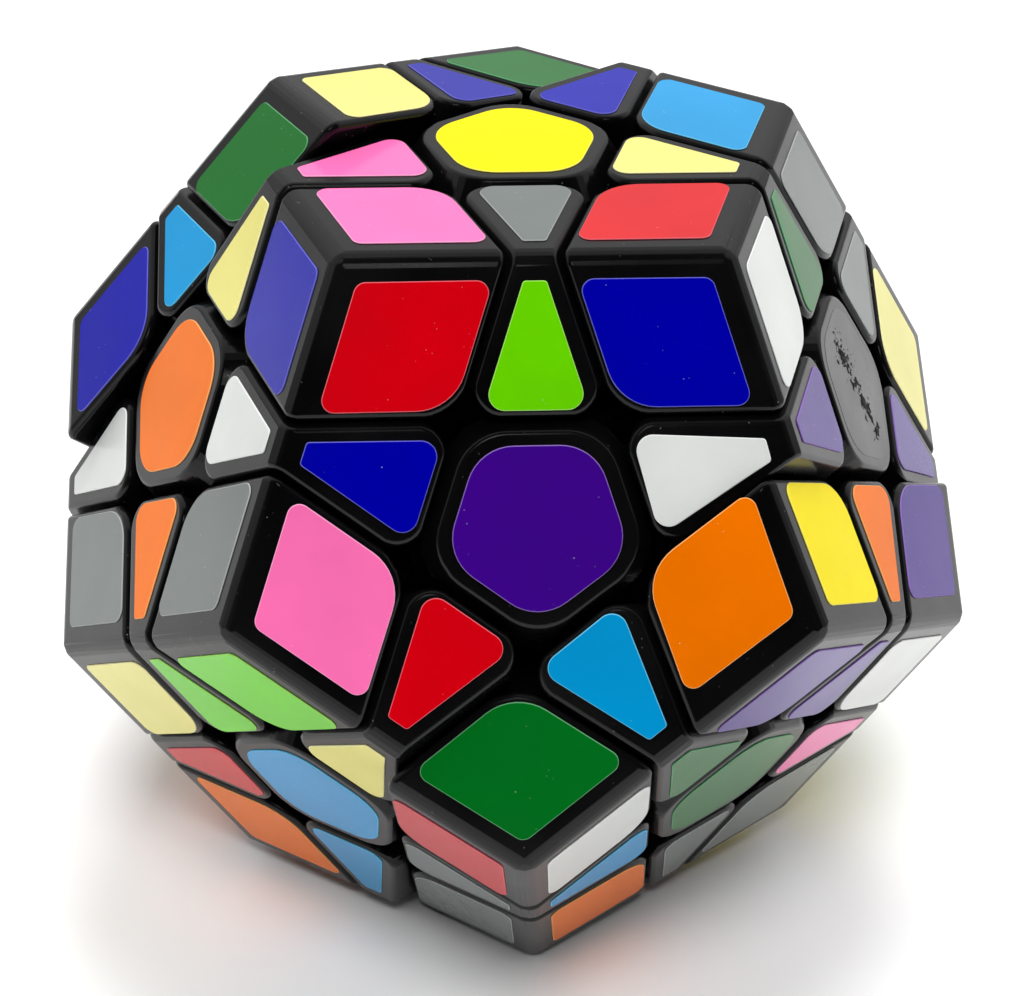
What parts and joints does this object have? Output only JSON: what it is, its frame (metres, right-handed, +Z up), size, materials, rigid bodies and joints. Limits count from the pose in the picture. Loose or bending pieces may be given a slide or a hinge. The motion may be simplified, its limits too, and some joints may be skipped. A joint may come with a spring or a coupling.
{
  "type": "twelve-sided twisty puzzle",
  "caption": "Stickered twelve-sided twisty puzzle whose layers turn on sprung screws, with edges and corners held by feet in a round track.",
  "frame": {"origin": "the middle of the core, where the twelve turning axes meet", "axes": "+Z up through the top face, -Y towards the viewer between the two leaning faces that the front one shows, -Z out of the face it stands on"},
  "size_m": [0.0818, 0.0858, 0.0746],
  "materials": {
    "black_plastic": "moulded, glossy",
    "core_plastic": "moulded, matt",
    "steel": "zinc plated",
    "vinyl": "gloss vinyl in twelve colours"
  },
  "bodies": {
    "middle": {"core": "core_plastic", "screws": "steel", "washers": "steel", "springs": "steel", "caps": "black_plastic", "face_stickers": "vinyl", "base_stickers": "vinyl", "centre_0": "black_plastic", "centre_1": "black_plastic", "centre_2": "black_plastic", "centre_3": "black_plastic", "centre_4": "black_plastic", "centre_5": "black_plastic", "centre_6": "black_plastic", "centre_7": "black_plastic", "centre_8": "black_plastic", "centre_9": "black_plastic", "corner_0": "black_plastic", "corner_1": "black_plastic", "corner_2": "black_plastic", "corner_3": "black_plastic", "corner_4": "black_plastic", "corner_5": "black_plastic", "corner_6": "black_plastic", "corner_7": "black_plastic", "corner_8": "black_plastic", "corner_9": "black_plastic", "edges_0": "black_plastic", "edges_1": "black_plastic", "edges_2": "black_plastic", "edges_3": "black_plastic"},
    "front_layer": {"front_centre": "black_plastic", "front_cap": "black_plastic", "front_spring": "steel", "front_stickers": "vinyl", "front_edge_0": "black_plastic", "front_edge_1": "black_plastic", "front_edge_2": "black_plastic", "front_edge_3": "black_plastic", "front_edge_4": "black_plastic", "front_corner_0": "black_plastic", "front_corner_1": "black_plastic", "front_corner_2": "black_plastic", "front_corner_3": "black_plastic", "front_corner_4": "black_plastic", "front_base_stickers": "vinyl"},
    "rear_layer": {"rear_centre": "black_plastic", "rear_cap": "black_plastic", "rear_spring": "steel", "rear_stickers": "vinyl", "rear_edge_0": "black_plastic", "rear_edge_1": "black_plastic", "rear_edge_2": "black_plastic", "rear_edge_3": "black_plastic", "rear_edge_4": "black_plastic", "rear_corner_0": "black_plastic", "rear_corner_1": "black_plastic", "rear_corner_2": "black_plastic", "rear_corner_3": "black_plastic", "rear_corner_4": "black_plastic"}
  },
  "joints": [
    {"name": "front_turn", "type": "hinge", "parent": "middle", "child": "front_layer", "pos_m": [0, 0, 0], "axis": [0.5257, -0.7236, -0.4472], "continuous": true},
    {"name": "rear_turn", "type": "hinge", "parent": "middle", "child": "rear_layer", "pos_m": [0, 0, 0], "axis": [-0.5257, 0.7236, 0.4472], "continuous": true}
  ]
}
